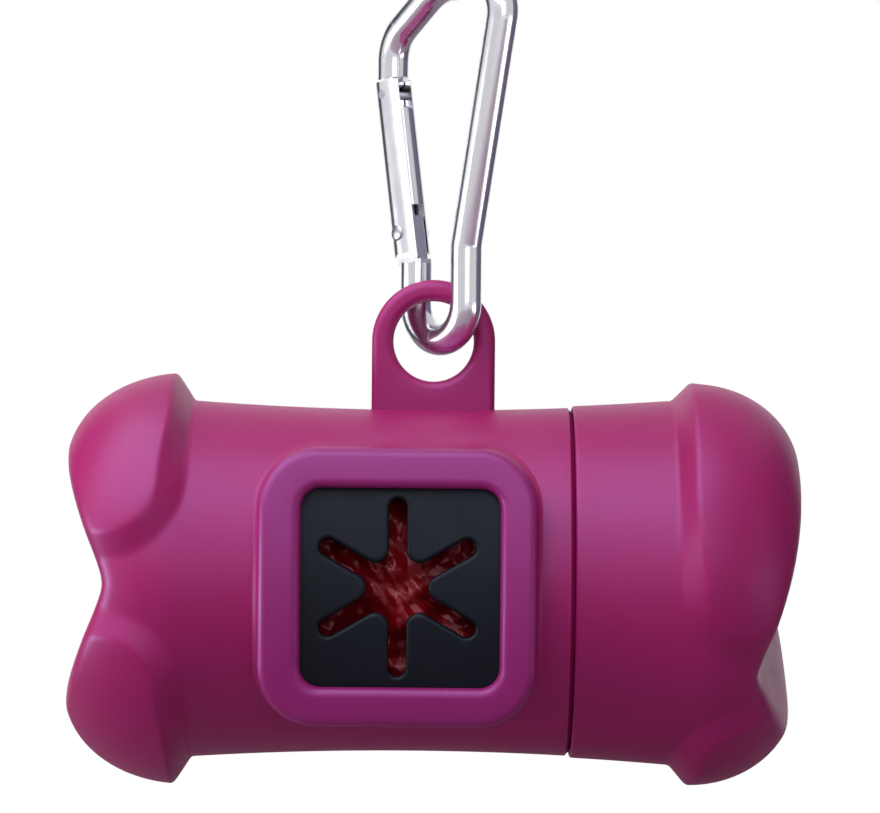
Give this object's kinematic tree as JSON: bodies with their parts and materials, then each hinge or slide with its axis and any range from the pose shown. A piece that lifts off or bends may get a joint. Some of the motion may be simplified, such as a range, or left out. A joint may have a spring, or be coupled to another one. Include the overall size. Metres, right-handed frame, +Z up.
{
  "type": "dog waste bag dispenser",
  "caption": "Bone-shaped waste bag dispenser with a screw cap, a star-slit outlet and a spring-gate carabiner",
  "frame": {"origin": "inside of the carabiner's top bar, the point that the part hangs from", "axes": "+Z up, +X along the bone towards the screw cap, -Y the way the outlet faces"},
  "size_m": [0.086, 0.0474, 0.0965],
  "materials": {
    "shell_plastic": "satin moulded plastic with a fine pearl, magenta purple",
    "frame_plastic": "satin moulded plastic, magenta purple, bevelled edges",
    "pad_rubber": "matt black rubber",
    "bag_film": "thin wrinkled red film",
    "core_board": "wound grey-brown card",
    "hook_metal": "polished nickel-plated steel",
    "pin_steel": "plain steel"
  },
  "bodies": {
    "carabiner": {"carabiner_frame": "hook_metal", "hinge_rivet": "pin_steel"},
    "gate": {"gate": "hook_metal", "latch_pin": "pin_steel", "gate_spring": "pin_steel"},
    "plunger": {"gate_plunger": "pin_steel"},
    "dispenser": {"body_shell": "shell_plastic", "outlet_frame": "frame_plastic", "star_pad": "pad_rubber", "bag_tail": "bag_film"},
    "roll_carrier": {"roll_core": "core_board"},
    "roll": {"bag_roll": "bag_film"},
    "cap": {"end_cap": "shell_plastic"}
  },
  "joints": [
    {"name": "dispenser_swing", "type": "hinge", "parent": "carabiner", "child": "dispenser", "pos_m": [-0.00211, 0.00151, -0.04025], "axis": [0, 1, 0], "range_deg": [-60, 60]},
    {"name": "gate_open", "type": "hinge", "parent": "carabiner", "child": "gate", "pos_m": [-0.00505, 0.00581, -0.02735], "axis": [0.7547, 0.6561, 0], "range_deg": [0, 28], "stiffness_Nm_per_rad": 0.008, "springref_deg": -6.88},
    {"name": "plunger_slide", "type": "slide", "parent": "gate", "child": "plunger", "axis": [-0.118, 0.1357, 0.9837], "range_m": [0, 0.0009], "deforming": ["gate_spring"]},
    {"name": "cap_turn", "type": "hinge", "parent": "roll_carrier", "child": "cap", "pos_m": [0.02749, 0.00151, -0.06855], "axis": [1, 0, 0], "range_deg": [-32, 500]},
    {"name": "cap_travel", "type": "slide", "parent": "dispenser", "child": "roll_carrier", "axis": [1, 0, 0], "range_m": [-0.0004, 0.0056]},
    {"name": "roll_spin", "type": "hinge", "parent": "roll_carrier", "child": "roll", "pos_m": [-0.00211, 0.00151, -0.07015], "axis": [1, 0, 0], "continuous": true}
  ],
  "couplings": [
    {"joint": "plunger_slide", "follows": "gate_open", "m_per_rad": 0.00174},
    {"joint": "cap_travel", "follows": "cap_turn", "m_per_rad": 0.00063662}
  ]
}
